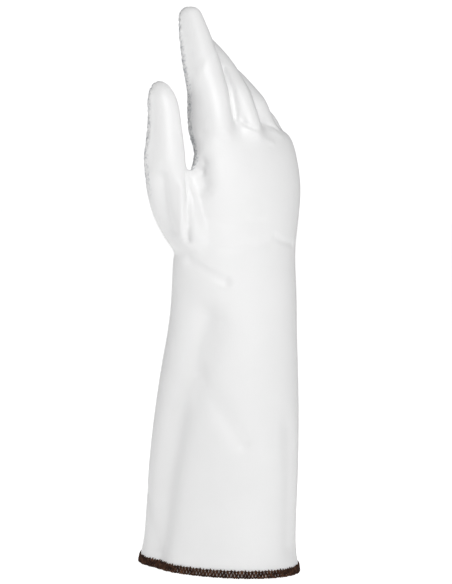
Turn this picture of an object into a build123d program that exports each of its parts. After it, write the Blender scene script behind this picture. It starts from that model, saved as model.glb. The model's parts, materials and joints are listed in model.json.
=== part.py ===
from build123d import *
import math
import os

os.makedirs("parts", exist_ok=True)

# A long-cuff cryogenic glove for the right hand, standing on its hem. Millimetres and degrees.
# +Z runs up the sleeve, the thumb is at -X, the back of the hand at -Y and the palm at +Y.
# The origin is the centre of the cuff mouth, in the plane that the hem rests on.

# Layers of the wall, from the outside in.
coating = 1.2
insulation = 3.6
lining = 0.8
depths = [0.0, coating, coating + insulation, coating + insulation + lining]
layer_names = ["coating", "insulation", "lining"]

# Room between neighbouring bodies at a bend, and between neighbouring fingers.
bend_gap = 0.4
finger_gap = 0.9
# Each notch is this much wider than the travel it has to let through.
notch_spare = 1.0
reach = 400.0

# Overlocked edge of the cuff.
thread = 0.8
hem_height = 6.4
needle_thread = 0.7
needle_height = 1.0

# Sleeve, from the cuff to the wrist.
wrist_height = 245.0
cuff_half_width = 64.5
cuff_half_depth = 48.0
wrist_half_width = 52.5
wrist_half_depth = 37.5
# Its sections: share of the wrist's height, centre across, centre deep, share of the way
# from the wrist's half width and half depth to the cuff's, and the oval's turn about Z.
sleeve_shape = [
    (0.0, 0.0, 0.0, 1.0, 1.0, -55.0),
    (0.245, 0.0, 0.0, 0.67, 0.9, -50.0),
    (0.53, 2.0, 0.0, 0.33, 0.76, -38.0),
    (0.775, 4.0, -0.5, -0.04, 0.43, -19.0),
    (1.0, 1.5, -1.5, 0.0, 0.0, 0.0),
]
sleeve = []
for share, across, deep, wide_share, deep_share, turn in sleeve_shape:
    half_width = wrist_half_width + (cuff_half_width - wrist_half_width) * wide_share
    half_depth = wrist_half_depth + (cuff_half_depth - wrist_half_depth) * deep_share
    sleeve.append((wrist_height * share, across, deep, half_width, half_depth, turn))
wrist_centre = (sleeve[-1][1], sleeve[-1][2], wrist_height)

# Knuckle row. Its own frame is turned about Z, so the little finger sits nearer the palm.
hand_length = 83.0
knuckle_height = wrist_height + hand_length
knuckle_centre = (7.0, -5.5, knuckle_height)
knuckle_turn = 8.0
knuckle_half_depth = 22.0
web_height = knuckle_height + 23.0
web_half_depth = 17.0
web_across = -5.0
web_forward = 1.0
web_narrowing = 8.0
edge_spare = 1.0

# Fingers, index first. Half width and half depth at the root, radius at the middle bend,
# at the last bend and at the tip.
root_half_width = [15.0, 13.2, 12.8, 11.2]
root_half_depth = [19.5, 16.0, 15.0, 13.0]
middle_radius = [14.8, 13.2, 12.8, 11.2]
last_radius = [14.2, 12.8, 12.4, 10.9]
tip_radius = [13.0, 12.0, 11.6, 10.2]
# Where each finger's centre line starts, deep of the knuckle row and above its height.
root_forward = [0.5, -10.0, -6.0, 3.0]
root_rise = [6.0, 8.0, 7.0, 1.0]
# Lengths from the root to the middle bend, on to the last bend, and on to the tip.
root_length = [43.0, 42.0, 40.0, 34.0]
middle_length = [27.0, 28.0, 26.0, 20.0]
tip_length = [37.0, 34.0, 32.0, 26.0]
# Lean of each length towards the palm, from upright, as the glove stands at rest.
root_lean = [10.0, 27.5, 38.0, 45.0]
middle_lean = [22.0, 43.0, 52.0, 56.0]
tip_lean = [24.0, 52.0, 59.0, 62.0]
finger_names = ["index", "middle", "ring", "little"]

# Thumb: its centre at the swing bend in the knuckle row's frame, its sizes and its leans.
thumb_across = -70.0
thumb_forward = 20.0
thumb_height = knuckle_height + 6.0
thumb_radius = 14.4
thumb_bend_radius = 12.4
thumb_tip_radius = 10.0
thumb_length = 22.0
thumb_tip_length = 25.0
thumb_lean = 4.0
thumb_tip_lean = 7.0
thumb_swing_turn = knuckle_turn + 50.0
# Ball of the thumb: sections of height, across, forward and radius up to the swing bend.
thumb_ball = [
    (wrist_height + 9.0, -36.0, 9.0, 20.0),
    (wrist_height + 31.0, -54.0, 15.5, 22.0),
    (wrist_height + 57.0, -65.5, 18.5, 19.0),
    (thumb_height, thumb_across, thumb_forward, thumb_radius),
]

# Travel of each kind of bend, towards the palm and away from it.
wrist_travel = (22.0, 12.0)
knuckle_travel = (32.0, 10.0)
middle_travel = (40.0, 8.0)
tip_share = 0.6
swing_travel = (26.0, 0.0)
thumb_tip_travel = (30.0, 5.0)


def across_way(turn):
    return Vector(math.cos(math.radians(turn)), math.sin(math.radians(turn)), 0)


def forward_way(turn):
    return Vector(-math.sin(math.radians(turn)), math.cos(math.radians(turn)), 0)


def way(turn, lean):
    """The direction that leans from upright towards the palm side of a turned frame."""
    side = forward_way(turn) * math.sin(math.radians(lean))
    return side + Vector(0, 0, math.cos(math.radians(lean)))


def knuckle_point(across, forward, height):
    """A point given in the knuckle row's frame, at a height above the hem's plane."""
    flat = Vector(knuckle_centre[0], knuckle_centre[1], 0)
    flat = flat + across_way(knuckle_turn) * across
    return flat + forward_way(knuckle_turn) * forward + Vector(0, 0, height)


def oval(point, turn, lean, half_width, half_depth):
    plane = Plane(origin=point, x_dir=across_way(turn), z_dir=way(turn, lean))
    return plane * Ellipse(half_width, half_depth)


def bend(point, turn, lean, travel):
    """A hinge: its centre, its frame's turn, the lean halfway between its two lengths."""
    return {"point": Vector(*point), "turn": turn, "lean": lean, "travel": travel}


def cut_beyond(solid, hinge, lean, sign):
    """Takes away what lies past the plane through the hinge whose normal has this lean."""
    normal = way(hinge["turn"], lean) * sign
    origin = hinge["point"] - normal * (bend_gap / 2)
    plane = Plane(origin=origin, x_dir=across_way(hinge["turn"]), z_dir=normal)
    block = Box(reach, reach, reach, align=(Align.CENTER, Align.CENTER, Align.MIN))
    return solid - plane * block


def below(solid, hinge):
    """The part of a tube under a hinge, notched for half of the travel each way."""
    towards, away = hinge["travel"]
    lower = cut_beyond(solid, hinge, hinge["lean"] + (towards + notch_spare) / 2, 1)
    return cut_beyond(lower, hinge, hinge["lean"] - (away + notch_spare) / 2, 1)


def above(solid, hinge):
    """The part of a tube over a hinge, notched for the other half of the travel."""
    towards, away = hinge["travel"]
    upper = cut_beyond(solid, hinge, hinge["lean"] - (towards + notch_spare) / 2, -1)
    return cut_beyond(upper, hinge, hinge["lean"] + (away + notch_spare) / 2, -1)


def save(name, solid):
    export_step(solid, os.path.join("parts", name + ".step"))


# Centre of each finger across the knuckle row, from the widths and the gaps.
total_width = 2 * sum(root_half_width) + finger_gap * (len(root_half_width) - 1)
finger_across = []
edge = -total_width / 2
for half_width in root_half_width:
    finger_across.append(edge + half_width)
    edge = edge + 2 * half_width + finger_gap
knuckle_half_width = total_width / 2 + edge_spare

# Hinges.
wrist = bend(wrist_centre, 0.0, 0.0, wrist_travel)
knuckles = bend(knuckle_centre, knuckle_turn, 0.0, knuckle_travel)
tip_travel = (middle_travel[0] * tip_share, middle_travel[1] * tip_share)
finger_roots = []
middle_bends = []
last_bends = []
for i in range(len(finger_names)):
    height = knuckle_height + root_rise[i]
    root = knuckle_point(finger_across[i], root_forward[i], height)
    first = root + way(knuckle_turn, root_lean[i]) * root_length[i]
    second = first + way(knuckle_turn, middle_lean[i]) * middle_length[i]
    lean_first = (root_lean[i] + middle_lean[i]) / 2
    lean_second = (middle_lean[i] + tip_lean[i]) / 2
    finger_roots.append(root)
    middle_bends.append(bend(first, knuckle_turn, lean_first, middle_travel))
    last_bends.append(bend(second, knuckle_turn, lean_second, tip_travel))
swing_point = knuckle_point(thumb_across, thumb_forward, thumb_height)
thumb_swing = bend(swing_point, thumb_swing_turn, 0.0, swing_travel)
thumb_end = swing_point + way(knuckle_turn, thumb_lean) * thumb_length
thumb_mean = (thumb_lean + thumb_tip_lean) / 2
thumb_last = bend(thumb_end, knuckle_turn, thumb_mean, thumb_tip_travel)


def sleeve_solid(depth, start):
    """The sleeve's shape, inset by a depth, cut off below a starting height."""
    ovals = []
    for height, across, deep, half_width, half_depth, turn in sleeve:
        centre = Vector(across, deep, height)
        ovals.append(oval(centre, turn, 0.0, half_width - depth, half_depth - depth))
    top = Vector(*wrist_centre) + Vector(0, 0, knuckle_half_depth)
    half_width, half_depth = sleeve[-1][3], sleeve[-1][4]
    body = loft(ovals)
    body = body + loft([ovals[-1], oval(top, 0.0, 0.0, half_width - depth, half_depth - depth)])
    block = Box(reach, reach, reach, align=(Align.CENTER, Align.CENTER, Align.MAX))
    return body - Pos(0, 0, start) * block


def hand_solid(depth):
    """The wrist, back and palm up to past the knuckle hinge."""
    low = Vector(*wrist_centre) - Vector(0, 0, knuckle_half_depth)
    base = Vector(*wrist_centre) + Vector(0, 0, 2.0)
    middle = (Vector(*wrist_centre) + Vector(*knuckle_centre)) / 2 + Vector(2.5, -3.0, 4.0)
    top = Vector(*knuckle_centre)
    half_width, half_depth = sleeve[-1][3] - depth, sleeve[-1][4] - depth
    middle_depth = (sleeve[-1][4] + knuckle_half_depth) / 2 - 1.5
    first = oval(base, 0.0, 0.0, half_width, half_depth)
    second = oval(middle, knuckle_turn / 3, 0.0, half_width - 1.0, middle_depth - depth)
    row_width = knuckle_half_width - depth
    third = oval(top, knuckle_turn, 0.0, row_width, knuckle_half_depth - depth)
    over = top + Vector(0, 0, knuckle_half_depth)
    fourth = oval(over, knuckle_turn, 0.0, row_width, knuckle_half_depth - depth)
    stem = loft([oval(low, 0.0, 0.0, half_width, half_depth), first])
    return stem + loft([first, second, third]) + loft([third, fourth])


def ball_solid(depth, extra):
    """The ball of the thumb, carried on past the swing hinge by an extra height."""
    ovals = []
    for height, across, forward, radius in thumb_ball:
        centre = knuckle_point(across, forward, height)
        ovals.append(oval(centre, knuckle_turn, 0.0, radius - depth, radius - depth))
    over = thumb_ball[-1]
    top = knuckle_point(over[1], over[2], over[0] + extra)
    end = oval(top, knuckle_turn, 0.0, over[3] - depth, over[3] - depth)
    return loft(ovals) + loft([ovals[-1], end])


def web_solid(depth):
    """The palm above the knuckle hinge, up to the webs between the fingers."""
    low = Vector(*knuckle_centre) - Vector(0, 0, knuckle_half_depth)
    base = Vector(*knuckle_centre)
    top = knuckle_point(web_across, web_forward, web_height - depth)
    row_width = knuckle_half_width - depth
    first = oval(low, knuckle_turn, 0.0, row_width, knuckle_half_depth - depth)
    second = oval(base, knuckle_turn, 0.0, row_width, knuckle_half_depth - depth)
    web_width = row_width - web_narrowing
    third = oval(top, knuckle_turn, 0.0, web_width, web_half_depth - depth)
    return loft([first, second]) + loft([second, third])


def root_solid(i, depth, extra):
    """The first length of a finger, from inside the palm to past its middle bend."""
    start = finger_roots[i]
    end = middle_bends[i]["point"]
    along = way(knuckle_turn, root_lean[i])
    wide, deep = root_half_width[i] - depth, root_half_depth[i] - depth
    radius = middle_radius[i] - depth
    first = oval(start, knuckle_turn, root_lean[i], wide, deep)
    second = oval(end, knuckle_turn, root_lean[i], radius, radius)
    third = oval(end + along * extra, knuckle_turn, root_lean[i], radius, radius)
    return loft([first, second]) + loft([second, third])


def round_tube(start, end, turn, lean, radius_a, radius_b, depth):
    """A straight round length from start to end that runs past both by its own radius."""
    along = way(turn, lean)
    ring_a, ring_b = radius_a - depth, radius_b - depth
    points = [start - along * radius_a, start, end, end + along * radius_b]
    radii = [ring_a, ring_a, ring_b, ring_b]
    body = None
    for k in range(3):
        low = oval(points[k], turn, lean, radii[k], radii[k])
        high = oval(points[k + 1], turn, lean, radii[k + 1], radii[k + 1])
        piece = loft([low, high])
        body = piece if body is None else body + piece
    return body


def round_tip(start, turn, lean, length, radius_a, radius_b, depth):
    """The last length: a tapered tube that closes with a round end."""
    along = way(turn, lean)
    low = oval(start - along * radius_a, turn, lean, radius_a - depth, radius_a - depth)
    base = oval(start, turn, lean, radius_a - depth, radius_a - depth)
    middle = start + along * (length - radius_b)
    high = oval(middle, turn, lean, radius_b - depth, radius_b - depth)
    end = Pos(middle) * Sphere(radius_b - depth)
    return loft([low, base]) + loft([base, high]) + end


# Sleeve of the glove, from the hem up to the wrist.
for k, layer in enumerate(layer_names):
    shell = sleeve_solid(depths[k], thread) - sleeve_solid(depths[k + 1], 0.0)
    save("gauntlet_" + layer, below(shell, wrist))

# Hand, with the ball of the thumb.
for k, layer in enumerate(layer_names):
    outside = hand_solid(depths[k]) + below(ball_solid(depths[k], thumb_radius), thumb_swing)
    inside = hand_solid(depths[k + 1]) + ball_solid(depths[k + 1], thumb_radius)
    save("hand_" + layer, below(above(outside - inside, wrist), knuckles))

def slice_across(solid, low, high):
    """The part of a solid between two distances across the knuckle row."""
    middle = knuckle_point((low + high) / 2, 0.0, knuckle_height)
    plane = Plane(origin=middle, x_dir=across_way(knuckle_turn), z_dir=(0, 0, 1))
    return solid & plane * Box(high - low, reach, reach)


# Knuckles, with the first length of all four fingers. The padding there is four pieces, one
# behind each finger, that meet in the webs.
for k, layer in enumerate(layer_names):
    outside = web_solid(depths[k])
    inside = web_solid(depths[k + 1])
    for i in range(len(finger_names)):
        length = root_solid(i, depths[k], middle_radius[i])
        outside = outside + below(length, middle_bends[i])
        inside = inside + root_solid(i, depths[k + 1], middle_radius[i])
    shell = above(outside - inside, knuckles)
    if layer == "insulation":
        for i, finger in enumerate(finger_names):
            low = finger_across[i] - root_half_width[i] - finger_gap / 2
            high = finger_across[i] + root_half_width[i] + finger_gap / 2
            if i == 0:
                low = low - knuckle_half_width
            if i == len(finger_names) - 1:
                high = high + knuckle_half_width
            save(finger + "_root_" + layer, slice_across(shell, low, high))
    else:
        save("knuckles_" + layer, shell)

# Middle and last length of each finger.
for i, finger in enumerate(finger_names):
    first = middle_bends[i]
    second = last_bends[i]
    for k, layer in enumerate(layer_names):
        outer, inner = depths[k], depths[k + 1]
        ends = (first["point"], second["point"], knuckle_turn, middle_lean[i])
        radii = (middle_radius[i], last_radius[i])
        tube = round_tube(*ends, *radii, outer) - round_tube(*ends, *radii, inner)
        save(finger + "_mid_" + layer, below(above(tube, first), second))
        shape = (second["point"], knuckle_turn, tip_lean[i], tip_length[i])
        radii = (last_radius[i], tip_radius[i])
        tube = round_tip(*shape, *radii, outer) - round_tip(*shape, *radii, inner)
        save(finger + "_tip_" + layer, above(tube, second))

# Thumb and its last length.
for k, layer in enumerate(layer_names):
    outer, inner = depths[k], depths[k + 1]
    ends = (swing_point, thumb_end, knuckle_turn, thumb_lean)
    radii = (thumb_radius, thumb_bend_radius)
    tube = round_tube(*ends, *radii, outer) - round_tube(*ends, *radii, inner)
    save("thumb_" + layer, below(above(tube, thumb_swing), thumb_last))
    shape = (thumb_end, knuckle_turn, thumb_tip_lean, thumb_tip_length)
    radii = (thumb_bend_radius, thumb_tip_radius)
    tube = round_tip(*shape, *radii, outer) - round_tip(*shape, *radii, inner)
    save("thumb_tip_" + layer, above(tube, thumb_last))


def hem_ring(out_depth, in_depth, low, high):
    """A band that follows the sleeve between two insets and two heights."""
    block = Box(reach, reach, reach, align=(Align.CENTER, Align.CENTER, Align.MIN))
    band = sleeve_solid(out_depth, low) - sleeve_solid(in_depth, low)
    return band - Pos(0, 0, high) * block


# Overlocked hem: one looper thread covers the outside, the other the inside, and they meet
# under the cut edge; the needle thread runs along the top of the outer band.
middle_depth = depths[-1] / 2
outer_band = hem_ring(-thread, 0.0, 0.0, hem_height)
outer_edge = hem_ring(0.0, middle_depth, 0.0, thread)
save("hem_outer_looper", outer_band + outer_edge)
inner_band = hem_ring(depths[-1], depths[-1] + thread, 0.0, hem_height)
inner_edge = hem_ring(middle_depth, depths[-1], 0.0, thread)
save("hem_inner_looper", inner_band + inner_edge)
needle_low = hem_height
save("hem_needle_thread", hem_ring(-needle_thread, 0.0, needle_low, needle_low + needle_height))
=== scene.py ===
import json
import math

import bmesh
import bpy
import numpy as np
from mathutils import Matrix, Quaternion, Vector
from mathutils.bvhtree import BVHTree


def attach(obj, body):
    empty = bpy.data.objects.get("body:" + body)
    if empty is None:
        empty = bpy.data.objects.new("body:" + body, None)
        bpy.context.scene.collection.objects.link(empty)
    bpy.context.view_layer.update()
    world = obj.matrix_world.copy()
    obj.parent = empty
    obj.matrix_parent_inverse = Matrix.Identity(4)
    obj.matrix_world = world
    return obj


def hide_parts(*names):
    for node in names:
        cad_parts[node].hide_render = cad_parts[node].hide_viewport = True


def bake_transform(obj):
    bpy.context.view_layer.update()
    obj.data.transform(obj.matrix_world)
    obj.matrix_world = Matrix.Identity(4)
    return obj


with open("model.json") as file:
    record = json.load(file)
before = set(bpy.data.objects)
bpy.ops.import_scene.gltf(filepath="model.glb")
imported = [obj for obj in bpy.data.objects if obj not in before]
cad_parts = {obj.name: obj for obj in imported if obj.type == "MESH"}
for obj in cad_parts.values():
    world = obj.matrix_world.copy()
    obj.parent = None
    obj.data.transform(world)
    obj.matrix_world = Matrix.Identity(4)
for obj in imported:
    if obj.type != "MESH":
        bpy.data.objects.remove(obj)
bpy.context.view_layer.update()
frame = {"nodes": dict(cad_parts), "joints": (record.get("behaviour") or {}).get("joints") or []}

bl_info = {
    "name": "Cryogenic glove",
    "version": (1, 0, 0),
    "blender": (4, 5, 0),
    "location": "View3D > Sidebar > Glove",
    "description": "Dipped coating, padding, lining and overlocked hem of a long-cuff cold glove",
    "category": "Object",
}

MM = 0.001
UP = Vector((0, 0, 1))
FINGERS = ["index", "middle", "ring", "little"]
JOINTS = {joint["name"]: joint for joint in frame["joints"]}


def hinge_point(name):
    return Vector(JOINTS[name]["pos_m"])


# The knuckle row's own frame: across it to the little finger, and forward to the palm.
KNUCKLES = hinge_point("knuckle_bend")
ACROSS = -Vector(JOINTS["knuckle_bend"]["axis"])
FORWARD = UP.cross(ACROSS)


def leaning(lean):
    """The direction that leans from upright towards the palm, by degrees."""
    lean = math.radians(lean)
    return FORWARD * math.sin(lean) + UP * math.cos(lean)


def row_point(across, forward, height):
    """A point in the knuckle row's frame, in millimetres, at a height over the floor."""
    flat = Vector((KNUCKLES.x, KNUCKLES.y, 0)) + ACROSS * (across * MM)
    return flat + FORWARD * (forward * MM) + UP * (height * MM)


# ------------------------------------------------------------------ sizes and colours


class GloveSizes(bpy.types.PropertyGroup):
    grain: bpy.props.FloatProperty(
        name="Mesh grain",
        description="Edge length of the skin's mesh",
        default=1.6 * MM,
        unit="LENGTH",
    )
    coating: bpy.props.FloatProperty(
        name="Coating",
        description="Thickness of the dipped coating and its carrier",
        default=1.2 * MM,
        unit="LENGTH",
    )
    padding: bpy.props.FloatProperty(
        name="Padding",
        description="Thickness of the thermal padding",
        default=3.6 * MM,
        unit="LENGTH",
    )
    lining: bpy.props.FloatProperty(
        name="Lining",
        description="Thickness of the knitted lining",
        default=0.8 * MM,
        unit="LENGTH",
    )
    softening: bpy.props.IntProperty(
        name="Softening",
        description="Smoothing passes that round the webs between the fingers",
        default=9,
        min=0,
    )
    easing: bpy.props.IntProperty(
        name="Knuckle easing",
        description="Extra smoothing passes where the fingers grow out of the hand",
        default=60,
        min=0,
    )
    grip_pitch: bpy.props.FloatProperty(
        name="Grip pitch",
        description="Distance over which the grip's curled ridges repeat",
        default=9 * MM,
        unit="LENGTH",
    )
    grip_depth: bpy.props.FloatProperty(
        name="Grip depth",
        description="Height of the grip's ridges over their hollows",
        default=1.0 * MM,
        unit="LENGTH",
    )
    hem_height: bpy.props.FloatProperty(
        name="Hem height",
        description="Height of the overlocked band",
        default=7.0 * MM,
        unit="LENGTH",
    )
    stitch: bpy.props.FloatProperty(
        name="Stitch pitch",
        description="Distance from one overlock stitch to the next",
        default=2.7 * MM,
        unit="LENGTH",
    )
    thread: bpy.props.FloatProperty(
        name="Thread",
        description="Thickness of the overlock thread",
        default=1.25 * MM,
        unit="LENGTH",
    )


class GloveColours(bpy.types.PropertyGroup):
    skin: bpy.props.StringProperty(
        name="Coating", description="sRGB colour of the coating", default="#ECECEC"
    )
    skin_shade: bpy.props.StringProperty(
        name="Coating, clouded",
        description="sRGB colour of the coating's darker clouds",
        default="#E6E6E6",
    )
    # Grip: painted shade, the grey painted into the hollows of the grip's bump.
    grip: bpy.props.StringProperty(
        name="Grip", description="sRGB colour of the grip's curls", default="#BABDC1"
    )
    padding: bpy.props.StringProperty(
        name="Padding", description="sRGB colour of the padding", default="#E6E5DF"
    )
    lining: bpy.props.StringProperty(
        name="Lining", description="sRGB colour of the lining", default="#EFEDE6"
    )
    thread: bpy.props.StringProperty(
        name="Hem thread", description="sRGB colour of the overlock thread", default="#2A170E"
    )
    thread_light: bpy.props.StringProperty(
        name="Hem thread, light",
        description="sRGB colour of the thread's palest fibres",
        default="#5A3C2A",
    )
    floor: bpy.props.StringProperty(
        name="Floor", description="sRGB colour of the floor", default="#FAFAFA"
    )


def linear(colour):
    """An sRGB hex colour as the linear colour that a shader takes."""
    channels = [int(colour[i : i + 2], 16) / 255 for i in (1, 3, 5)]
    bent = [c / 12.92 if c <= 0.04045 else ((c + 0.055) / 1.055) ** 2.4 for c in channels]
    return (*bent, 1.0)


# ------------------------------------------------------------------ the glove's form

# Sleeve and hand, from below the hem to the webs: height, centre across and deep, half
# width, half depth and turn in degrees. The cuff flares over its last centimetre.
SLEEVE_RINGS = [
    (-16, 0, 0, 66.0, 49.5, -55),
    (-4, 0, 0, 65.5, 49.0, -55),
    (4, 0, 0, 64.5, 48.5, -55),
    (14, 0, 0, 61.6, 47.6, -54),
    (30, 0, 0, 60.2, 46.8, -53),
    (60, 0.2, 0, 60.0, 46.8, -50),
    (95, 1.0, 0, 58.8, 46.6, -45),
    (131, 2.2, 0, 56.4, 45.2, -38),
    (164, 3.4, 0, 53.6, 43.4, -29),
    (188, 4.4, -0.5, 51.4, 41.4, -19),
    (212, 4.4, -1.0, 51.4, 40.2, -10),
    (232, 2.8, -1.5, 52.0, 39.0, -4),
    (248, 2.0, -2.0, 52.5, 37.0, 0),
    (262, 3.0, -4.0, 52.0, 34.0, 1),
    (279, 4.5, -6.0, 52.5, 31.0, 2),
    (297, 6.0, -7.0, 53.5, 27.5, 3.5),
    (314, 6.8, -7.0, 53.2, 24.5, 6),
    (328, 7.0, -6.0, 52.0, 22.0, 8),
    (340, 6.5, -4.5, 49.5, 19.0, 8),
    (349, 6.5, -3.5, 45.0, 14.5, 8),
]

# Each finger: half width and half depth at its root, radius at the middle bend, the last
# bend and the tip, lean of its root and of its tip, and its length from root to bend and
# from the last bend to the tip.
FINGER_SHAPES = {
    "index": (15.2, 21.5, 15.4, 14.2, 9.6, 10.0, 21.5, 52.0, 38.2),
    "middle": (12.6, 17.5, 13.4, 13.0, 12.0, 26.0, 52.0, 50.0, 34.0),
    "ring": (12.2, 16.5, 12.8, 12.5, 11.6, 34.0, 59.0, 46.0, 32.0),
    "little": (10.8, 15.0, 11.4, 11.0, 10.2, 39.0, 62.0, 40.0, 26.0),
}

# Thumb, from inside the heel of the hand to the tip: height, across, forward, half width
# and half depth, in the knuckle row's frame.
THUMB_RINGS = [
    (236, -28.0, 4.0, 20.0, 24.0),
    (252, -38.0, 10.0, 22.0, 24.0),
    (266, -47.5, 13.5, 22.5, 24.0),
    (280, -56.0, 15.5, 21.5, 22.5),
    (296, -63.5, 17.0, 19.0, 19.5),
    (312, -68.6, 17.8, 15.8, 17.0),
    (320, -69.8, 18.2, 14.8, 16.6),
    (330, -69.6, 18.8, 14.4, 15.2),
    (340, -69.8, 19.6, 13.2, 13.8),
    (350, -70.0, 20.2, 12.3, 12.6),
    (358.5, -70.3, 21.6, 12.0, 12.2),
    (366, -70.8, 23.0, 11.0, 11.0),
    (371.5, -71.2, 24.0, 8.8, 8.6),
    (375.5, -71.4, 24.6, 6.0, 5.8),
    (378, -71.6, 25.0, 2.4, 2.4),
]


def ring_matrix(centre, across, deep, half_width, half_depth):
    """Places a unit circle as an oval round a centre."""
    across, deep = across.normalized(), deep.normalized()
    sides = (across * half_width, deep * half_depth, across.cross(deep))
    matrix = Matrix([[side[i] for side in sides] for i in range(3)]).to_4x4()
    matrix.translation = centre
    return matrix


def limb(bm, matrices, segments=40):
    """A closed tube through a row of ovals, by extruding the first one's rim."""
    start = bmesh.ops.create_circle(bm, cap_ends=True, radius=1, segments=segments)
    verts = start["verts"]
    bmesh.ops.transform(bm, matrix=matrices[0], verts=verts)
    cap = [face for face in bm.faces if all(vert in verts for vert in face.verts)]
    bmesh.ops.reverse_faces(bm, faces=cap)
    edges = list({edge for vert in verts for edge in vert.link_edges})
    for before, after in zip(matrices, matrices[1:]):
        grown = bmesh.ops.extrude_edge_only(bm, edges=edges)["geom"]
        verts = [part for part in grown if isinstance(part, bmesh.types.BMVert)]
        edges = [
            part
            for part in grown
            if isinstance(part, bmesh.types.BMEdge) and all(v in verts for v in part.verts)
        ]
        bmesh.ops.transform(bm, matrix=after @ before.inverted(), verts=verts)
    bmesh.ops.contextual_create(bm, geom=edges)


def sleeve_limb(bm):
    matrices = []
    for height, x, y, half_width, half_depth, turn in SLEEVE_RINGS:
        turned = Matrix.Rotation(math.radians(turn), 3, "Z")
        centre = Vector((x, y, height)) * MM
        across, deep = turned @ Vector((1, 0, 0)), turned @ Vector((0, 1, 0))
        matrices.append(ring_matrix(centre, across, deep, half_width * MM, half_depth * MM))
    limb(bm, matrices, segments=64)


def finger_line(finger):
    """The points of a finger's centre line: root, middle bend, last bend and tip."""
    shape = FINGER_SHAPES[finger]
    first, second = hinge_point(finger + "_middle_bend"), hinge_point(finger + "_tip_bend")
    root = first - leaning(shape[5]) * (shape[7] * MM)
    tip = second + leaning(shape[6]) * (shape[8] * MM)
    return root, first, second, tip


def finger_limb(bm, finger):
    wide, deep, middle, last, tip_radius, root_lean, tip_lean, _, _ = FINGER_SHAPES[finger]
    root, first, second, tip = finger_line(finger)
    mid_way, tip_way = (second - first).normalized(), leaning(tip_lean)
    root_way = leaning(root_lean)
    rows = [
        (root, root_way, wide * 0.8, deep * 0.8),
        (root.lerp(first, 0.3), root_way, wide, deep),
        (root.lerp(first, 0.65), root_way, wide, (deep + middle) / 2),
        (first - mid_way * 5 * MM, root_way, middle, middle * 1.04),
        (first + mid_way * 1 * MM, root_way + mid_way, middle * 0.985, middle),
        (first.lerp(second, 0.5), mid_way, (middle + last) / 2, (middle + last) / 2),
        (second, mid_way + tip_way, last * 0.985, last),
    ]
    for share, radius in ((0.0, 1.0), (0.45, 0.93), (0.75, 0.72), (0.93, 0.42), (1.0, 0.12)):
        centre = tip - tip_way * (tip_radius * MM * (1 - share))
        rows.append((centre, tip_way, tip_radius * radius, tip_radius * radius))
    matrices = []
    for centre, along, half_width, half_depth in rows:
        across = ACROSS
        side = along.cross(across)
        matrices.append(ring_matrix(centre, across, side, half_width * MM, half_depth * MM))
    limb(bm, matrices)


def thumb_limb(bm):
    matrices = []
    for height, across, forward, half_width, half_depth in THUMB_RINGS:
        centre = row_point(across, forward, height)
        matrices.append(ring_matrix(centre, ACROSS, FORWARD, half_width * MM, half_depth * MM))
    limb(bm, matrices)


def applied(mesh, changes):
    """The mesh after a row of modifiers, each given as its type and its settings."""
    holder = bpy.data.objects.new("holder", mesh)
    bpy.context.scene.collection.objects.link(holder)
    for kind, settings in changes:
        modifier = holder.modifiers.new(kind.lower(), kind)
        for name, value in settings.items():
            setattr(modifier, name, value)
    graph = bpy.context.evaluated_depsgraph_get()
    result = bpy.data.meshes.new_from_object(holder.evaluated_get(graph), depsgraph=graph)
    bpy.data.objects.remove(holder)
    return result


def places(mesh):
    found = np.empty(len(mesh.vertices) * 3, np.float32)
    mesh.vertices.foreach_get("co", found)
    return found.reshape(-1, 3).astype(float)


def vertex_normals(mesh):
    found = np.empty(len(mesh.vertices) * 3, np.float32)
    mesh.vertex_normals.foreach_get("vector", found)
    return found.reshape(-1, 3).astype(float)


def set_places(mesh, points):
    mesh.vertices.foreach_set("co", points.astype(np.float32).ravel())
    mesh.update()


def glove_form(grain, softening):
    """The outside of the whole glove as one even mesh, open at the cuff."""
    bm = bmesh.new()
    sleeve_limb(bm)
    thumb_limb(bm)
    for finger in FINGERS:
        finger_limb(bm, finger)
    bmesh.ops.recalc_face_normals(bm, faces=bm.faces)
    mesh = bpy.data.meshes.new("form")
    bm.to_mesh(mesh)
    bm.free()
    smooth = {"factor": 0.5, "iterations": softening}
    changes = [
        ("SUBSURF", {"levels": 1, "render_levels": 1}),
        ("REMESH", {"mode": "VOXEL", "voxel_size": grain, "use_smooth_shade": True}),
        ("SMOOTH", smooth),
    ]
    form = applied(mesh, changes)
    bpy.data.meshes.remove(mesh)
    return form


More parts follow.
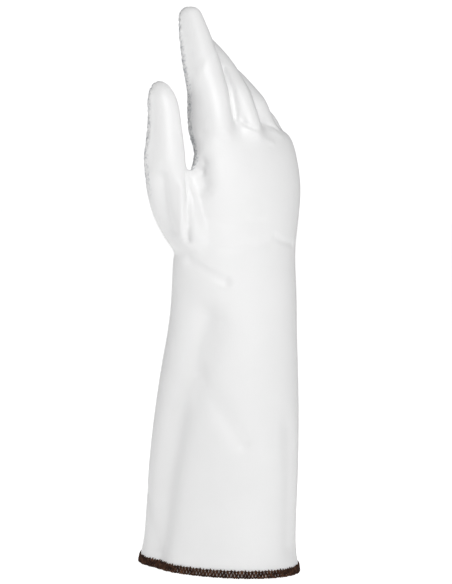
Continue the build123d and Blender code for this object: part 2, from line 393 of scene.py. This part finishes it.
# Creases, each as points that it runs through in millimetres, its depth (negative stands
# proud) and its half width.
CREASES = [
    (  # cuff turn
        [(25, -50, 114), (26, -52, 82), (26, -53, 51), (25, -54, 24)],
        1.6,
        8,
    ),
    (  # index middle
        [(-24, -3, 405), (-12, 4, 391), (-12, -8, 376), (-12, -13, 363), (-13, -16, 352)],
        1.6,
        2,
    ),
    (  # middle ring
        [(4, 0, 386), (4, -11, 375), (5, -17, 363)],
        0.9,
        2.4,
    ),
    (  # knuckle nick
        [(-10, -21, 351), (-8, -25, 347), (-2, -28, 345)],
        1.5,
        1.6,
    ),
    (  # knuckle ridge
        [(-10, -23, 345), (-1, -29, 341), (18, -24, 335)],
        -0.6,
        2.6,
    ),
    (  # second nick
        [(21, -14, 349), (30, -14, 346)],
        0.9,
        1.5,
    ),
    (  # second ridge
        [(19, -18, 344), (33, -17, 341)],
        -0.4,
        2.4,
    ),
    (  # back fold
        [(-44, -16, 338), (-40, -24, 337), (-30, -28, 335)],
        0.9,
        4.5,
    ),
    (  # back swell
        [(-44, -18, 344), (-33, -28, 341)],
        -0.1,
        4,
    ),
    (  # index ridge
        [(-45, -9, 382), (-40, -11, 391), (-29, -8, 402)],
        -0.6,
        4.4,
    ),
    (  # index dip
        [(-47, -2, 376), (-47, -3, 390), (-47, 2, 401)],
        0.8,
        4,
    ),
    (  # web notch
        [(-51, -9, 315), (-47, -9, 313), (-46, -15, 310)],
        2.2,
        3,
    ),
    (  # thumb groove
        [(-53, -13, 309), (-55, -17, 296), (-57, -19, 279), (-53, -14, 258)],
        3.2,
        3,
    ),
    (  # thumb flap
        [(-62, -16, 297), (-61, -17, 278), (-57, -11, 261)],
        -1.3,
        3.4,
    ),
    (  # thumb hollow
        [(-75, -8, 302), (-71, -6, 284), (-63, -2, 264)],
        4.5,
        8,
    ),
    (  # palm shade
        [(-45, -16, 316), (-44, -19, 300)],
        4,
        7,
    ),
    (  # wrist fold high
        [(-48, -21, 276), (-26, -32, 272), (2, -37, 274)],
        0.5,
        4,
    ),
    (  # wrist swell
        [(-43, -23, 265), (-3, -38, 262)],
        -0.3,
        4,
    ),
    (  # wrist fold low
        [(-48, -19, 256), (-25, -33, 253), (10, -38, 258)],
        0.8,
        4,
    ),
    (  # wrist slant
        [(-48, -11, 241), (-40, -22, 234), (-28, -31, 228)],
        2.2,
        4.5,
    ),
    (  # heel nick
        [(14, -37, 262), (23, -35, 259), (37, -30, 257)],
        1.1,
        2.6,
    ),
    (  # sleeve valley
        [
            (-37, -20, 198), (-43, -12, 161), (-48, -4, 131), (-50, 1, 99),
            (-52, 5, 69), (-52, 8, 42), (-53, 12, 14),
        ],
        6.5,
        13,
    ),
    (  # sleeve slant
        [(-40, -18, 152), (-30, -32, 131), (-16, -44, 106)],
        3,
        9,
    ),
    (  # cuff wedge
        [(-48, 34, 55), (-50, 26, 36), (-53, 18, 16)],
        1.6,
        6,
    ),
    (  # index knob
        [(-47, 15, 418), (-47, 15, 414)],
        -1.1,
        4,
    ),
    (  # thumb knob
        [(-79, 7, 323), (-78, 9, 316)],
        -1,
        5,
    ),
]


def crease_field(points, normals, creases):
    """Moves points along their normals, in by each crease's depth near its line."""
    shift = np.zeros(len(points))
    for line, depth, width in creases:
        line = np.array(line, float) * MM
        nearest = np.full(len(points), 1e9)
        for a, b in zip(line, line[1:]):
            along = b - a
            share = np.clip((points - a) @ along / (along @ along), 0, 1)
            gap = np.linalg.norm(points - a - share[:, None] * along, axis=1)
            nearest = np.minimum(nearest, gap)
        shift -= depth * MM * np.exp(-((nearest / (width * MM)) ** 2))
    return points + normals * shift[:, None]


def knuckle_share(points):
    """How far each point lies within the band where the fingers grow out of the hand."""
    height = points[:, 2] / MM
    rise, fall = np.clip((height - 300) / 22, 0, 1), np.clip((366 - height) / 22, 0, 1)
    thumb = (points - np.array(KNUCKLES)) @ np.array(ACROSS) / MM
    return rise * fall * np.clip((thumb + 62) / 8, 0, 1)


def eased(mesh, share, rounds):
    """The places of the mesh's points after each has moved, round after round, towards the
    middle of its neighbours by its share."""
    points = places(mesh)
    ends = np.empty(len(mesh.edges) * 2, np.int32)
    mesh.edges.foreach_get("vertices", ends)
    a, b = ends.reshape(-1, 2).T
    count = np.bincount(ends, minlength=len(points))[:, None]
    for _ in range(rounds):
        total = np.empty_like(points)
        for k in range(3):
            one = np.bincount(a, points[b, k], len(points))
            total[:, k] = one + np.bincount(b, points[a, k], len(points))
        points = points + (total / count - points) * 0.5 * share[:, None]
    return points


def grip_share(points, normals):
    """How much of the palm's rough grip each point has: all of it where the skin faces the
    palm side of the hand, none on the back or under the wrist."""
    facing = normals @ np.array(FORWARD)
    share = np.clip((facing - 0.12) / 0.2, 0, 1)
    height = np.clip((points[:, 2] / MM - 285) / 20, 0, 1)
    return share * height


def roughened(points, normals, share, pitch, depth):
    """Raises curled ridges on the grip, by the folds of a wandering wave."""
    x, y, z = (points / pitch * math.tau).T
    bent = x + 1.3 * np.sin(0.31 * z + 0.4 * y), y + 1.1 * np.sin(0.37 * x), z
    folds = np.sin(bent[0]) * np.cos(bent[1]) + np.sin(bent[1]) * np.cos(bent[2])
    folds += np.sin(bent[2]) * np.cos(bent[0])
    raised = depth * share * (np.clip(np.abs(folds), 0, 1) - 0.5)
    return points + normals * raised[:, None]


# ------------------------------------------------------------------ cutting into pieces


def piece_table():
    """Each piece of a layer: its two bodies, where its bend starts and ends, and the CAD
    nodes it stands for, without the layer's name."""
    wrist = hinge_point("wrist_bend")
    oblique = (ACROSS * 0.3 + FORWARD * 0.35 + UP).normalized()
    low = KNUCKLES - UP * 11 * MM
    swing, thumb_bend = hinge_point("thumb_swing"), hinge_point("thumb_tip_bend")
    thumb_way = (thumb_bend - swing).normalized()
    table = {
        "sleeve": ("gauntlet", "hand", wrist - UP * 28 * MM, wrist + UP * 28 * MM),
        "hand": ("hand", "knuckles", low, low + oblique * 26 * MM),
        "thumb": ("hand", "thumb", swing - UP * 15 * MM, swing + thumb_way * 12 * MM),
        "thumb_tip": (
            "thumb",
            "thumb_tip",
            thumb_bend - thumb_way * 8 * MM,
            thumb_bend + thumb_way * 9 * MM,
        ),
    }
    nodes = {
        "sleeve": ["gauntlet"],
        "hand": ["hand", "knuckles"],
        "thumb": ["thumb"],
        "thumb_tip": ["thumb_tip"],
    }
    for finger in FINGERS:
        _, first, second, _ = finger_line(finger)
        way = (second - first).normalized()
        root_way = leaning(FINGER_SHAPES[finger][5])
        tip_way = leaning(FINGER_SHAPES[finger][6])
        reach = (second - first).length * 0.45
        table[finger + "_mid"] = (
            "knuckles",
            finger + "_mid",
            first - (root_way + way).normalized() * reach,
            first + (root_way + way).normalized() * reach,
        )
        table[finger + "_tip"] = (
            finger + "_mid",
            finger + "_tip",
            second - (tip_way + way).normalized() * reach,
            second + (tip_way + way).normalized() * reach,
        )
        nodes[finger + "_mid"] = [finger + "_mid"]
        nodes[finger + "_tip"] = [finger + "_tip"]
    return table, nodes


# How far a limb reaches from its line, in its own radii, with the thumb's radius in
# millimetres, and how far a finger's line runs on below its middle bend.
LIMB_REACH = 1.45
THUMB_RADIUS = 15.0
ROOT_REACH = 21 * MM

# Heights of the cuff's edge and of the cuts above the wrist and through the thumb.
CUFF_BASE = 1 * MM
SLEEVE_CUT = 277 * MM
THUMB_CUT = 309 * MM


def limb_labels(points):
    """Which limb each point belongs to: 0 the sleeve and hand, 1 the thumb, 2 to 5 the
    fingers. A point belongs to the limb whose line it is nearest, in that limb's radii."""
    labels = np.zeros(len(points), int)
    best = np.full(len(points), LIMB_REACH)
    lines = [([row_point(*row[1:3], row[0]) for row in THUMB_RINGS[5:]], THUMB_RADIUS)]
    for finger in FINGERS:
        root, first, second, tip = finger_line(finger)
        start = first - leaning(FINGER_SHAPES[finger][5]) * ROOT_REACH
        radius = (FINGER_SHAPES[finger][2] + FINGER_SHAPES[finger][3]) / 2
        lines.append(([start, first, second, tip], radius))
    for label, (line, radius) in enumerate(lines, 1):
        for a, b in zip(line, line[1:]):
            a, b = np.array(a), np.array(b)
            along = b - a
            share = (points - a) @ along / (along @ along)
            inside = share >= 0
            near = a + np.clip(share, 0, 1)[:, None] * along
            gap = np.linalg.norm(points - near, axis=1) / (radius * MM)
            better = inside & (gap < best)
            best[better] = gap[better]
            labels[better] = label
    return labels


def cut_faces(bm, faces, point, normal):
    """Cuts only these faces along a plane."""
    geom = set(faces)
    for face in faces:
        geom.update(face.edges)
        geom.update(face.verts)
    bmesh.ops.bisect_plane(bm, geom=list(geom), plane_co=point, plane_no=normal, dist=1e-6)


def main_part(bm, indices):
    """The largest connected group of these faces."""
    bm.faces.ensure_lookup_table()
    left, best = set(indices), set()
    while left:
        waiting, group = [left.pop()], set()
        while waiting:
            index = waiting.pop()
            group.add(index)
            for edge in bm.faces[index].edges:
                for face in edge.link_faces:
                    if face.index in left:
                        left.discard(face.index)
                        waiting.append(face.index)
        if len(group) > len(best):
            best = group
    return best


def cut_into_pieces(form, floor_height):
    """Splits the form at planes that lie between bends. Gives a mesh for each piece, and
    the whole form's vertex normals as an attribute, so that no cut shows in the light."""
    normals = vertex_normals(form)
    bm = bmesh.new()
    bm.from_mesh(form)
    bm.verts.ensure_lookup_table()
    kept_normal = bm.verts.layers.float_vector.new("form_normal")
    for vert, normal in zip(bm.verts, normals):
        vert[kept_normal] = Vector(normal)
    everything = list(bm.verts) + list(bm.edges) + list(bm.faces)
    base = Vector((0, 0, floor_height))
    bmesh.ops.bisect_plane(
        bm, geom=everything, plane_co=base, plane_no=-UP, clear_outer=True, dist=1e-6
    )
    everything = list(bm.verts) + list(bm.edges) + list(bm.faces)
    low_cut = Vector((0, 0, SLEEVE_CUT))
    bmesh.ops.bisect_plane(bm, geom=everything, plane_co=low_cut, plane_no=UP, dist=1e-6)
    limb_of = bm.faces.layers.int.new("limb")
    bm.faces.ensure_lookup_table()
    centres = np.array([face.calc_center_median() for face in bm.faces])
    for face, label in zip(bm.faces, limb_labels(centres)):
        face[limb_of] = int(label)
    planes = {1: []}
    thumb_bend = hinge_point("thumb_tip_bend")
    thumb_way = (thumb_bend - hinge_point("thumb_swing")).normalized()
    planes[1].append(("thumb", Vector((0, 0, THUMB_CUT)), UP))
    planes[1].append(("thumb_tip", thumb_bend - thumb_way * 9 * MM, thumb_way))
    for label, finger in enumerate(FINGERS, 2):
        _, first, second, _ = finger_line(finger)
        way = (second - first).normalized()
        reach = (second - first).length * 0.5
        root_way = (leaning(FINGER_SHAPES[finger][5]) + way).normalized()
        planes[label] = [
            (finger + "_mid", first - root_way * reach, root_way),
            (finger + "_tip", (first + second) / 2, way),
        ]
    for label, cuts in planes.items():
        for _, point, normal in cuts:
            chosen = [face for face in bm.faces if face[limb_of] == label]
            cut_faces(bm, chosen, point, normal)
    bm.faces.index_update()
    by_piece = {}
    for face in bm.faces:
        centre = face.calc_center_median()
        name = "sleeve" if centre.z < SLEEVE_CUT else "hand"
        for piece, point, normal in planes.get(face[limb_of], []):
            if (centre - point).dot(normal) > 0:
                name = piece
        by_piece.setdefault(name, set()).add(face.index)
    for name in set(by_piece) - {"sleeve", "hand"}:
        kept = main_part(bm, by_piece[name])
        by_piece["hand"] |= by_piece[name] - kept
        by_piece[name] = kept
    whole = bpy.data.meshes.new("cut form")
    bm.to_mesh(whole)
    bm.free()
    meshes = {}
    for name, wanted in by_piece.items():
        bm = bmesh.new()
        bm.from_mesh(whole)
        unwanted = [face for face in bm.faces if face.index not in wanted]
        bmesh.ops.delete(bm, geom=unwanted, context="FACES")
        mesh = bpy.data.meshes.new(name)
        bm.to_mesh(mesh)
        bm.free()
        meshes[name] = mesh
    bpy.data.meshes.remove(whole)
    return meshes


def form_normals(mesh):
    found = np.empty(len(mesh.vertices) * 3, np.float32)
    mesh.attributes["form_normal"].data.foreach_get("vector", found)
    normals = found.reshape(-1, 3).astype(float)
    return normals / np.maximum(np.linalg.norm(normals, axis=1), 1e-9)[:, None]


def walled(mesh, depth, thickness):
    """A closed wall whose outer face lies this deep under the form, with the form's own
    normals on both faces."""
    normals = form_normals(mesh)
    shifted = places(mesh) - normals * depth
    shifted[:, 2] = np.maximum(shifted[:, 2], CUFF_BASE)
    set_places(mesh, shifted)
    settings = {"thickness": thickness, "offset": -1, "use_rim": True}
    wall = applied(mesh, [("SOLIDIFY", settings)])
    count = len(mesh.vertices)
    points = places(wall)
    points[count : 2 * count] = points[:count] - normals * thickness
    points[:, 2] = np.maximum(points[:, 2], CUFF_BASE)
    set_places(wall, points)
    wall.normals_split_custom_set_from_vertices(np.vstack([normals, -normals]))
    return wall


def cad_nodes(bodies, layer):
    """The CAD nodes of a layer on these bodies. The padding behind the fingers is four."""
    names = [node for node in frame["nodes"] if node.endswith("_" + layer)]
    split = [node for node in names if "_root_" in node]
    found = []
    for body in bodies:
        found += split if body == "knuckles" and split else [body + "_" + layer]
    return found


def layer_pieces(form, layer, depth, thickness, material):
    """All the pieces of one layer, cut apart between the bends."""
    table, nodes = piece_table()
    made = []
    for name, mesh in sorted(cut_into_pieces(form, CUFF_BASE).items()):
        wall = walled(mesh, depth, thickness)
        bpy.data.meshes.remove(mesh)
        wall.name = name + "_" + layer
        rest = wall.attributes.new("rest_place", "FLOAT_VECTOR", "POINT")
        rest.data.foreach_set("vector", places(wall).astype(np.float32).ravel())
        wall.materials.clear()
        wall.materials.append(material)
        piece = bpy.data.objects.new(name + "_" + layer + "_piece", wall)
        bpy.context.scene.collection.objects.link(piece)
        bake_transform(piece)
        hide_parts(*cad_nodes(nodes[name], layer))
        made.append(piece)
    return made


# ------------------------------------------------------------------ materials


def add(material, kind, settings=(), links=()):
    """Adds a node with its settings, given as socket or attribute names and values, and
    its links, given as this node's input and the output that feeds it."""
    node = material.node_tree.nodes.new(kind)
    for name, value in dict(settings).items():
        if name in node.inputs:
            node.inputs[name].default_value = value
        else:
            setattr(node, name, value)
    for name, output in dict(links).items():
        material.node_tree.links.new(node.inputs[name], output)
    return node


def new_material(name):
    material = bpy.data.materials.new(name)
    material.use_nodes = True
    material.node_tree.nodes.clear()
    return material


def finish_material(material, shader):
    add(material, "ShaderNodeOutputMaterial", links={"Surface": shader.outputs["BSDF"]})
    return material


def dipped_nitrile(colours):
    """White nitrile, dipped over a knitted carrier and cured: a satin skin with soft, broad
    highlights, in which the carrier shows as a very faint, irregular grain. The hollows of the
    grip's bump carry painted shade: a darker grey mixed into the skin's colour."""
    material = new_material("Dipped white nitrile, satin cured")
    place = add(material, "ShaderNodeAttribute", {"attribute_name": "rest_place"})
    cloud = add(
        material,
        "ShaderNodeTexNoise",
        {"Scale": 28.0, "Detail": 3.0, "Roughness": 0.5},  # clouds 36 mm across
        {"Vector": place.outputs["Vector"]},
    )
    grain = add(
        material,
        "ShaderNodeTexNoise",
        {"Scale": 900.0, "Detail": 2.0, "Roughness": 0.6},  # grain 1.1 mm across
        {"Vector": place.outputs["Vector"]},
    )
    grip = add(material, "ShaderNodeAttribute", {"attribute_name": "grip"})
    curls = add(
        material,
        "ShaderNodeTexNoise",
        {"Scale": 300.0, "Detail": 1.0, "Distortion": 1.6},  # curls 3.3 mm across
        {"Vector": place.outputs["Vector"]},
    )
    # Painted shade: where the curls' bump is low, in the grip's hollows, the colour turns to the
    # grip grey.
    hollows = add(
        material,
        "ShaderNodeMapRange",
        {"From Min": 0.5, "From Max": 0.38},
        {"Value": curls.outputs["Fac"]},
    )
    curled = add(
        material,
        "ShaderNodeMath",
        {"operation": "MULTIPLY"},
        {0: hollows.outputs[0], 1: grip.outputs["Fac"]},
    )
    tint = add(material, "ShaderNodeMix", {"data_type": "RGBA"})
    tint.inputs[6].default_value = linear(colours.skin)
    tint.inputs[7].default_value = linear(colours.skin_shade)
    material.node_tree.links.new(tint.inputs[0], cloud.outputs["Fac"])
    # The coating's colour, with painted shade in the grip's hollows.
    grip_hollow_shaded = add(material, "ShaderNodeMix", {"data_type": "RGBA"})
    grip_hollow_shaded.inputs[7].default_value = linear(colours.grip)
    material.node_tree.links.new(grip_hollow_shaded.inputs[0], curled.outputs[0])
    material.node_tree.links.new(grip_hollow_shaded.inputs[6], tint.outputs[2])
    rough = add(
        material,
        "ShaderNodeMath",
        {"operation": "MULTIPLY_ADD"},
        {0: curls.outputs["Fac"], 1: grip.outputs["Fac"], 2: grain.outputs["Fac"]},
    )
    bump = add(
        material,
        "ShaderNodeBump",
        {"Strength": 0.15, "Distance": 0.0004},
        {"Height": rough.outputs[0]},
    )
    shader = add(
        material,
        "ShaderNodeBsdfPrincipled",
        {"Roughness": 0.46, "IOR": 1.5, "Coat Weight": 0.06, "Coat Roughness": 0.3},
        {"Base Color": grip_hollow_shaded.outputs[2], "Normal": bump.outputs["Normal"]},
    )
    return finish_material(material, shader)


def plain_felt(name, colour):
    """Needled polyester wadding: matt, pale and slightly fibrous."""
    material = new_material(name)
    place = add(material, "ShaderNodeAttribute", {"attribute_name": "rest_place"})
    fibre = add(
        material,
        "ShaderNodeTexNoise",
        {"Scale": 700.0, "Detail": 4.0},  # fibres 1.4 mm across
        {"Vector": place.outputs["Vector"]},
    )
    bump = add(
        material,
        "ShaderNodeBump",
        {"Strength": 0.4, "Distance": 0.0006},
        {"Height": fibre.outputs["Fac"]},
    )
    shader = add(
        material,
        "ShaderNodeBsdfPrincipled",
        {"Base Color": linear(colour), "Roughness": 0.9, "Sheen Weight": 0.3},
        {"Normal": bump.outputs["Normal"]},
    )
    return finish_material(material, shader)


def spun_thread(colours):
    """Brown spun polyester: matt, with no shine, and paler where the ply catches dust."""
    material = new_material("Spun polyester thread, brown")
    place = add(material, "ShaderNodeTexCoord")
    shade = add(
        material,
        "ShaderNodeTexNoise",
        {"Scale": 350.0, "Detail": 2.0},  # ply 2.9 mm across
        {"Vector": place.outputs["Object"]},
    )
    ramp = add(material, "ShaderNodeValToRGB", {}, {"Fac": shade.outputs["Fac"]})
    ramp.color_ramp.elements[0].position = 0.42
    ramp.color_ramp.elements[0].color = linear(colours.thread)
    ramp.color_ramp.elements[1].position = 0.72
    ramp.color_ramp.elements[1].color = linear(colours.thread_light)
    bump = add(
        material,
        "ShaderNodeBump",
        {"Strength": 0.4, "Distance": 0.0003},
        {"Height": shade.outputs["Fac"]},
    )
    shader = add(
        material,
        "ShaderNodeBsdfPrincipled",
        {"Roughness": 0.85, "Specular IOR Level": 0.2},
        {"Base Color": ramp.outputs["Color"], "Normal": bump.outputs["Normal"]},
    )
    return finish_material(material, shader)


# ------------------------------------------------------------------ threads


def surface_of(name):
    """The surface of a finished piece, to sew through."""
    graph = bpy.context.evaluated_depsgraph_get()
    return BVHTree.FromObject(bpy.data.objects[name], graph)


def on_wall(wall, angle, height, off, inward=True):
    """A point on a wall in a direction from the cuff's centre, set off from the wall."""
    ray = Vector((math.cos(angle), math.sin(angle), 0))
    level = UP * max(height, 1.3 * MM)
    start = level + ray * 0.2 if inward else level
    found, normal, _, _ = wall.ray_cast(start, -ray if inward else ray)
    if found is None:
        raise RuntimeError("the hem's thread meets no wall")
    flat = Vector((normal.x, normal.y, 0)).normalized()
    return Vector((found.x, found.y, height)) + flat * off


def even_angles(wall, height, pitch):
    """Directions from the cuff's centre that lie a whole number of even stitches apart."""
    count = 720
    ring = [on_wall(wall, math.tau * i / count, height, 0) for i in range(count + 1)]
    lengths = [(b - a).length for a, b in zip(ring, ring[1:])]
    along = np.concatenate([[0], np.cumsum(lengths)])
    stitches = round(along[-1] / pitch)
    wanted = np.linspace(0, along[-1], stitches + 1)
    return np.interp(wanted, along, np.linspace(0, math.tau, count + 1))


# How far the stitches wander up and down.
WANDER = 0.35 * MM


def sewn_thread(name, angles, stitch, half):
    """A closed round of stitches as one thread."""
    curve = bpy.data.curves.new(name, "CURVE")
    curve.dimensions = "3D"
    curve.bevel_depth = half
    curve.bevel_resolution = 1
    spline = curve.splines.new("POLY")
    outside = stitch[0][1]
    points = []
    for a, b in zip(angles, angles[1:]):
        for share, wall, height, off in stitch:
            angle = a + (b - a) * share
            height += WANDER * math.sin(37 * a + 5 * share)
            points.append(on_wall(wall, angle, height, off, inward=wall is outside))
    spline.points.add(len(points) - 1)
    for point, place in zip(spline.points, points):
        point.co = (*place, 1)
    spline.use_cyclic_u = True
    holder = bpy.data.objects.new(name, curve)
    bpy.context.scene.collection.objects.link(holder)
    graph = bpy.context.evaluated_depsgraph_get()
    mesh = bpy.data.meshes.new_from_object(holder.evaluated_get(graph), depsgraph=graph)
    bpy.data.objects.remove(holder)
    mesh.name = name
    mesh.shade_smooth()
    thread = bpy.data.objects.new(name, mesh)
    bpy.context.scene.collection.objects.link(thread)
    return thread


# ------------------------------------------------------------------ operators


class GLOVE_OT_coating(bpy.types.Operator):
    """Shapes the dipped coating with its folds, and cuts it at the bends"""

    bl_idname = "glove.coating"
    bl_label = "Coating"

    def execute(self, context):
        sizes, colours = context.scene.glove_sizes, context.scene.glove_colours
        form = glove_form(sizes.grain, sizes.softening)
        form.name = "glove form"
        set_places(form, eased(form, knuckle_share(places(form)), sizes.easing))
        points, normals = places(form), vertex_normals(form)
        points = crease_field(points, normals, CREASES)
        share = grip_share(points, normals)
        set_places(form, roughened(points, normals, share, sizes.grip_pitch, sizes.grip_depth))
        grip = form.attributes.new("grip", "FLOAT", "POINT")
        grip.data.foreach_set("value", share.astype(np.float32))
        material = dipped_nitrile(colours)
        layer_pieces(form, "coating", 0.0, sizes.coating, material)
        return {"FINISHED"}


class GLOVE_OT_inner_layers(bpy.types.Operator):
    """Shapes the thermal padding and the knitted lining under the coating"""

    bl_idname = "glove.inner_layers"
    bl_label = "Padding and lining"

    def execute(self, context):
        sizes, colours = context.scene.glove_sizes, context.scene.glove_colours
        form = applied(bpy.data.meshes["glove form"], [("DECIMATE", {"ratio": 0.3})])
        padding = plain_felt("Needled polyester wadding", colours.padding)
        lining = plain_felt("Knitted polyester lining, brushed", colours.lining)
        made = layer_pieces(form, "insulation", sizes.coating, sizes.padding, padding)
        deep = sizes.coating + sizes.padding
        layer_pieces(form, "lining", deep, sizes.lining, lining)
        return {"FINISHED"}


class GLOVE_OT_hem(bpy.types.Operator):
    """Sews the brown overlocked hem round the cuff: two loopers and a needle thread"""

    bl_idname = "glove.hem"
    bl_label = "Hem"

    def execute(self, context):
        sizes, colours = context.scene.glove_sizes, context.scene.glove_colours
        outside = surface_of("sleeve_coating_piece")
        inside = surface_of("sleeve_lining_piece")
        angles = even_angles(outside, sizes.hem_height / 2, sizes.stitch)
        top, edge, half = sizes.hem_height, 0.9 * MM, sizes.thread / 2
        middle, swing = (top + edge + half) / 2, (top - edge - half) / 2
        out, sunk = half * 0.7, -half * 0.4
        # Each thread's stitch: share of the stitch, wall, height and height off the wall.
        stitches = {
            "hem_outer_looper": [
                (k / 8, outside, middle + swing * math.cos(math.tau * k / 8), out)
                for k in range(8)
            ],
            "hem_inner_looper": [
                (0.0, outside, top * 0.3, out),
                (0.1, outside, edge + half, out),
                (0.25, inside, edge + half, out),
                (0.5, inside, top, out),
                (0.75, inside, edge + half, out),
                (0.9, outside, edge + half, out),
            ],
            "hem_needle_thread": [
                (0.0, outside, top * 0.92, sunk),
                (0.25, outside, top * 0.9, out),
                (0.5, outside, top * 0.88, out * 1.2),
                (0.75, outside, top * 0.9, out),
            ],
        }
        material = spun_thread(colours)
        for node, stitch in stitches.items():
            thick = half * (0.6 if "needle" in node else 1.0)
            piece = sewn_thread(node + "_piece", angles, stitch, thick)
            piece.data.materials.append(material)
            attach(piece, "gauntlet")
            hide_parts(node)
        return {"FINISHED"}


# Light from all round, the backdrop that the camera sees, and the floor's glow as the
# camera sees it and as it falls on the glove.
AMBIENT = 0.15
BACKDROP = 1.1
SEEN_GLOW = 0.87
CAST_GLOW = 0.45

# Each lamp: name, azimuth and elevation in degrees, distance and size in metres, watts.
LAMPS = [
    ("key", -16, 34, 1.5, 0.8, 16.0),
    ("rim", -132, 12, 1.3, 0.5, 4.2),
]
LIT_POINT = Vector((5, -5, 320)) * MM

# The camera: azimuth, elevation and roll in degrees, distance in metres, height of its
# aim and shift of its aim to the right, and lens in millimetres.
CAMERA_AZIMUTH, CAMERA_ELEVATION, CAMERA_ROLL = -37, 3.2, 2.3
CAMERA_DISTANCE = 1.5
AIM_HEIGHT, AIM_SHIFT = 217 * MM, -2.9 * MM
CAMERA_LENS = 118


def way_out(azimuth, elevation):
    """The direction from the glove out to an azimuth and an elevation in degrees."""
    a, e = math.radians(azimuth), math.radians(elevation)
    return Vector((math.sin(a) * math.cos(e), -math.cos(a) * math.cos(e), math.sin(e)))


def studio_world(strength):
    """Soft light from all round, of which the camera sees only a white backdrop."""
    world = bpy.data.worlds.new("studio")
    world.use_nodes = True
    nodes, links = world.node_tree.nodes, world.node_tree.links
    nodes.clear()
    path, mix = nodes.new("ShaderNodeLightPath"), nodes.new("ShaderNodeMixShader")
    light, backdrop = nodes.new("ShaderNodeBackground"), nodes.new("ShaderNodeBackground")
    light.inputs["Strength"].default_value = strength
    backdrop.inputs["Strength"].default_value = BACKDROP
    for background in (light, backdrop):
        background.inputs["Color"].default_value = (1, 1, 1, 1)
    links.new(mix.inputs[0], path.outputs["Is Camera Ray"])
    links.new(mix.inputs[1], light.outputs[0])
    links.new(mix.inputs[2], backdrop.outputs[0])
    links.new(nodes.new("ShaderNodeOutputWorld").inputs["Surface"], mix.outputs[0])
    return world


class GLOVE_OT_stage(bpy.types.Operator):
    """Lays the floor, the lights and the camera"""

    bl_idname = "glove.stage"
    bl_label = "Stage"

    def execute(self, context):
        scene, colours = context.scene, context.scene.glove_colours
        bm = bmesh.new()
        bmesh.ops.create_grid(bm, x_segments=1, y_segments=1, size=14)
        mesh = bpy.data.meshes.new("floor")
        bm.to_mesh(mesh)
        bm.free()
        floor = bpy.data.objects.new("floor", mesh)
        scene.collection.objects.link(floor)
        paint = new_material("Backlit white acrylic floor")
        shader = add(
            paint,
            "ShaderNodeBsdfPrincipled",
            {
                "Base Color": linear(colours.floor),
                "Roughness": 0.9,
                "Emission Color": (1, 1, 1, 1),
            },
        )
        path = add(paint, "ShaderNodeLightPath")
        glow = add(paint, "ShaderNodeMath", {"operation": "MULTIPLY_ADD"})
        glow.inputs[1].default_value = SEEN_GLOW - CAST_GLOW
        glow.inputs[2].default_value = CAST_GLOW
        paint.node_tree.links.new(glow.inputs[0], path.outputs["Is Camera Ray"])
        paint.node_tree.links.new(shader.inputs["Emission Strength"], glow.outputs[0])
        mesh.materials.append(finish_material(paint, shader))
        scene.world = studio_world(AMBIENT)
        for name, azimuth, elevation, distance, size, power in LAMPS:
            light = bpy.data.lights.new(name, "AREA")
            light.energy, light.size = power, size
            lamp = bpy.data.objects.new(name, light)
            scene.collection.objects.link(lamp)
            back = way_out(azimuth, elevation)
            lamp.location = LIT_POINT + back * distance
            lamp.rotation_mode = "QUATERNION"
            lamp.rotation_quaternion = (-back).to_track_quat("-Z", "Y")
        camera = bpy.data.objects.new("camera", bpy.data.cameras.new("camera"))
        scene.collection.objects.link(camera)
        back = way_out(CAMERA_AZIMUTH, CAMERA_ELEVATION)
        a = math.radians(CAMERA_AZIMUTH)
        right = Vector((math.cos(a), math.sin(a), 0))
        camera.location = UP * AIM_HEIGHT + right * AIM_SHIFT + back * CAMERA_DISTANCE
        camera.rotation_mode = "QUATERNION"
        level = (-back).to_track_quat("-Z", "Y")
        camera.rotation_quaternion = level @ Quaternion((0, 0, 1), math.radians(CAMERA_ROLL))
        camera.data.lens = CAMERA_LENS
        scene.camera = camera
        scene.view_settings.view_transform = "Standard"
        return {"FINISHED"}


class GLOVE_PT_panel(bpy.types.Panel):
    bl_label = "Cryogenic glove"
    bl_space_type = "VIEW_3D"
    bl_region_type = "UI"
    bl_category = "Glove"

    def draw(self, context):
        for group in (context.scene.glove_sizes, context.scene.glove_colours):
            for name in group.__annotations__:
                self.layout.prop(group, name)
        for operator in OPERATORS:
            self.layout.operator(operator.bl_idname)


OPERATORS = (GLOVE_OT_coating, GLOVE_OT_inner_layers, GLOVE_OT_hem, GLOVE_OT_stage)
CLASSES = (GloveSizes, GloveColours, *OPERATORS, GLOVE_PT_panel)


def register():
    for each in CLASSES:
        bpy.utils.register_class(each)
    bpy.types.Scene.glove_sizes = bpy.props.PointerProperty(type=GloveSizes)
    bpy.types.Scene.glove_colours = bpy.props.PointerProperty(type=GloveColours)


def unregister():
    del bpy.types.Scene.glove_sizes
    del bpy.types.Scene.glove_colours
    for each in reversed(CLASSES):
        bpy.utils.unregister_class(each)


def main():
    register()
    bpy.ops.glove.coating()
    bpy.ops.glove.inner_layers()
    bpy.ops.glove.hem()
    bpy.ops.glove.stage()


if __name__ == "__main__":
    main()
